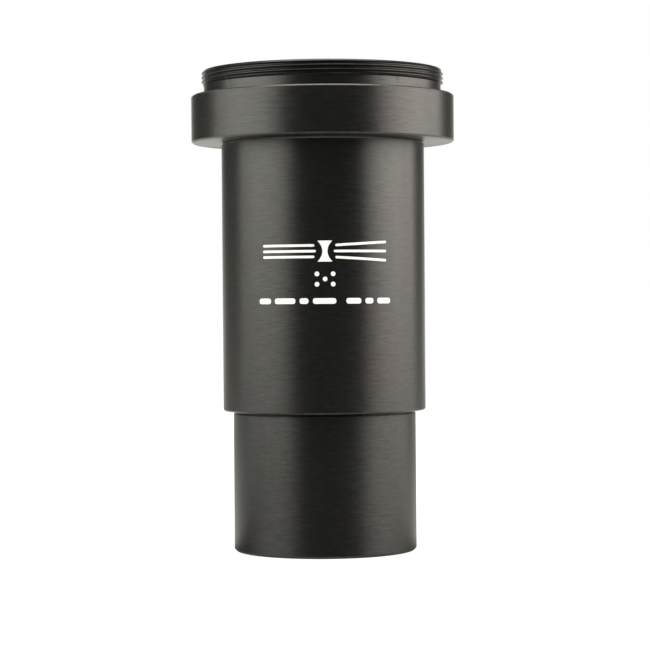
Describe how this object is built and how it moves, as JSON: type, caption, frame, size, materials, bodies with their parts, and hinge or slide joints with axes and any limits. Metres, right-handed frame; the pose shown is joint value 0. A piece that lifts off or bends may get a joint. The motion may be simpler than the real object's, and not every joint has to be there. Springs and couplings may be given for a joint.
{
  "type": "barlow lens",
  "caption": "Stepped black metal tube with a negative lens: an eyepiece socket inside a threaded camera collar at the top, and a narrower push-in nosepiece at the bottom.",
  "frame": {"origin": "on the optical axis, in the shoulder plane where the body tube rests on the end of a focuser", "axes": "+Z along the optical axis from the telescope towards the eyepiece, -Y the printed front, +Y the side with the clamp thumbscrew, +X to the right seen from the front"},
  "size_m": [0.0456, 0.0539, 0.0832],
  "materials": {
    "black_anodised": "satin black anodised, fine turning lines around the axis",
    "flat_black": "flat black, for stray light",
    "seat_polymer": "dull black",
    "coated_glass": "polished, faint green and purple anti-reflection coating",
    "plated_metal": "bright nickel plate, knurled rim",
    "nylon": "natural white nylon",
    "white_ink": "flat white printed ink"
  },
  "bodies": {
    "body": {"body_tube": "black_anodised", "thread_collar": "black_anodised", "baffle_sleeve": "flat_black", "eyepiece_stop_ring": "flat_black"},
    "nosepiece_slide": {"lower_baffle": "flat_black"},
    "nosepiece": {"nosepiece_barrel": "black_anodised", "lens_cell": "black_anodised", "lens_retaining_ring": "black_anodised", "lens_seat_ring": "seat_polymer", "biconcave_lens": "coated_glass", "meniscus_lens": "coated_glass"},
    "screw_tip": {"thumbscrew_tip": "nylon"},
    "screw": {"thumbscrew": "plated_metal"}
  },
  "joints": [
    {"name": "nosepiece_travel", "type": "slide", "parent": "body", "child": "nosepiece_slide", "axis": [0, 0, -1], "range_m": [0, 0.006]},
    {"name": "nosepiece_turn", "type": "hinge", "parent": "nosepiece_slide", "child": "nosepiece", "pos_m": [0, 0, 0], "axis": [0, 0, -1], "range_deg": [0, 2880]},
    {"name": "thumbscrew_travel", "type": "slide", "parent": "body", "child": "screw_tip", "axis": [0, -1, 0], "range_m": [-0.0035, 0.0014]},
    {"name": "thumbscrew_turn", "type": "hinge", "parent": "screw_tip", "child": "screw", "pos_m": [0, 0.028, 0.0505], "axis": [0, -1, 0], "range_deg": [-1800, 720]}
  ],
  "couplings": [
    {"joint": "nosepiece_turn", "follows": "nosepiece_travel", "rad_per_m": 8377},
    {"joint": "thumbscrew_turn", "follows": "thumbscrew_travel", "rad_per_m": 8975}
  ]
}
